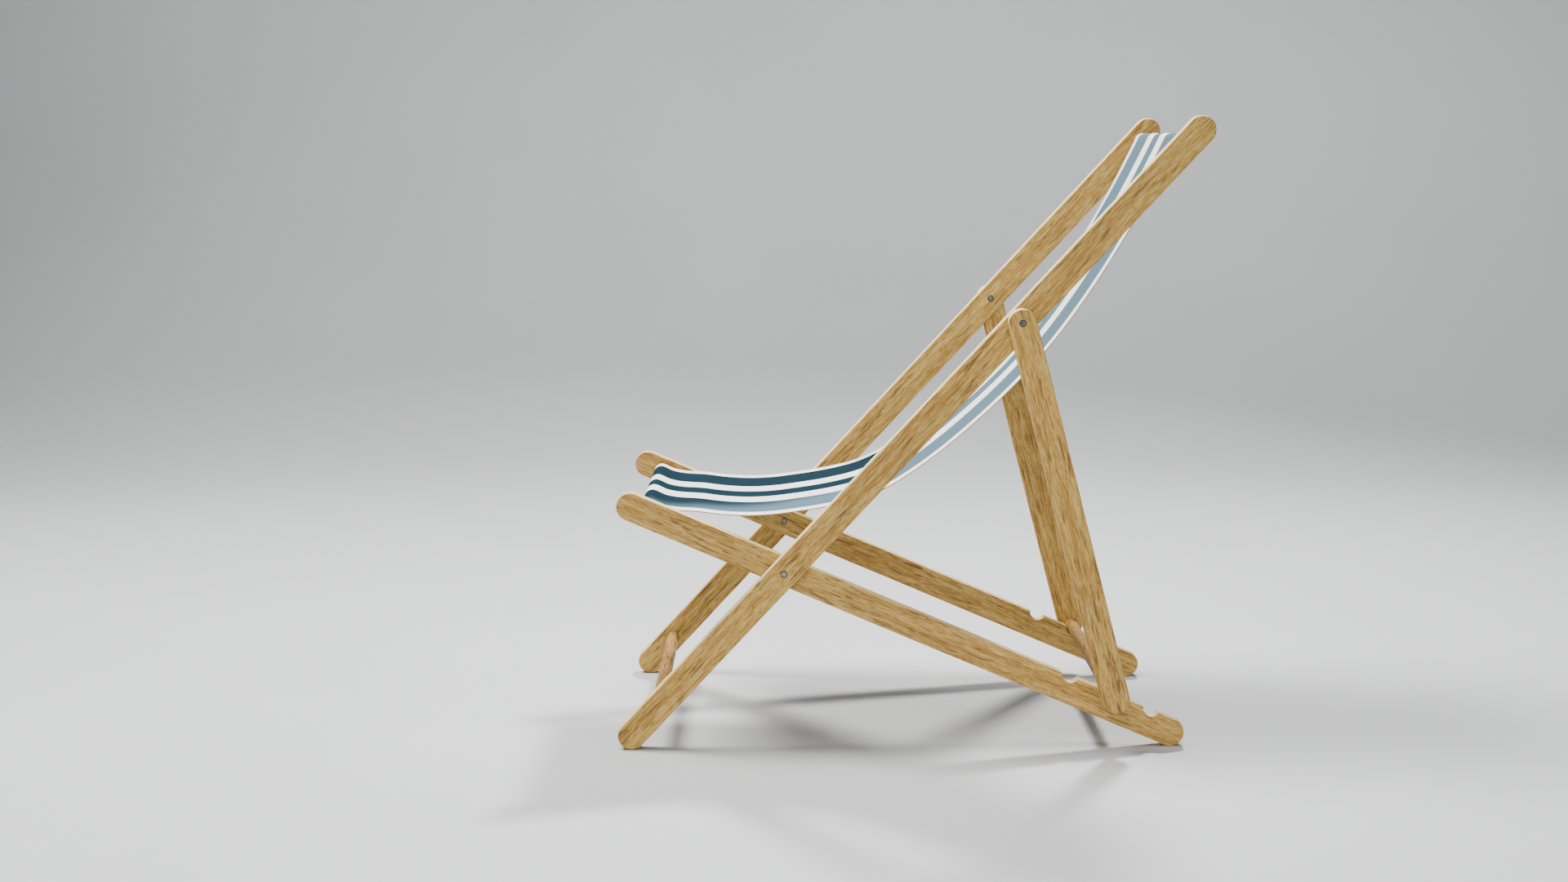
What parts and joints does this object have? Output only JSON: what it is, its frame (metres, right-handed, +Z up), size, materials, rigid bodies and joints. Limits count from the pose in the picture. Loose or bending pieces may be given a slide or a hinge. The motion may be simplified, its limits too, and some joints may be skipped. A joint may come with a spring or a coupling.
{
  "type": "folding deck chair",
  "caption": "Folding deck chair: pivoted wooden frames with a notched seat frame, a prop frame and a striped canvas sling hung between two bars.",
  "frame": {"origin": "on the floor, at the middle of the chair's width and length as set up", "axes": "+Z up, the sitter faces -Y, +X is the sitter's left"},
  "size_m": [0.582, 0.945, 1.018],
  "materials": {
    "rail_wood": "oiled",
    "bar_wood": "oiled",
    "pin_steel": "dull",
    "canvas": "woven, matt"
  },
  "bodies": {
    "seat_frame": {"seat_rail_left": "rail_wood", "seat_rail_right": "rail_wood", "front_bar": "bar_wood", "sling_seat": "canvas", "main_pin_left": "pin_steel", "main_pin_right": "pin_steel", "main_burr_left": "pin_steel", "main_burr_right": "pin_steel", "main_spacer_left": "pin_steel", "main_spacer_right": "pin_steel"},
    "back_frame": {"back_rail_left": "rail_wood", "back_rail_right": "rail_wood", "top_bar": "bar_wood", "foot_bar": "bar_wood", "sling_back": "canvas", "strut_pin_left": "pin_steel", "strut_pin_right": "pin_steel", "strut_burr_left": "pin_steel", "strut_burr_right": "pin_steel", "strut_spacer_left": "pin_steel", "strut_spacer_right": "pin_steel"},
    "prop_frame": {"strut_left": "rail_wood", "strut_right": "rail_wood", "prop_bar": "bar_wood"}
  },
  "joints": [
    {"name": "back_fold", "type": "hinge", "parent": "seat_frame", "child": "back_frame", "pos_m": [0, -0.20236, 0.28979], "axis": [1, 0, 0], "range_deg": [0, 103]},
    {"name": "prop_fold", "type": "hinge", "parent": "back_frame", "child": "prop_frame", "pos_m": [0, 0.17234, 0.69514], "axis": [1, 0, 0], "range_deg": [-52.53, 0]}
  ],
  "couplings": [
    {"joint": "prop_fold", "follows": "back_fold", "ratio": -0.51}
  ]
}
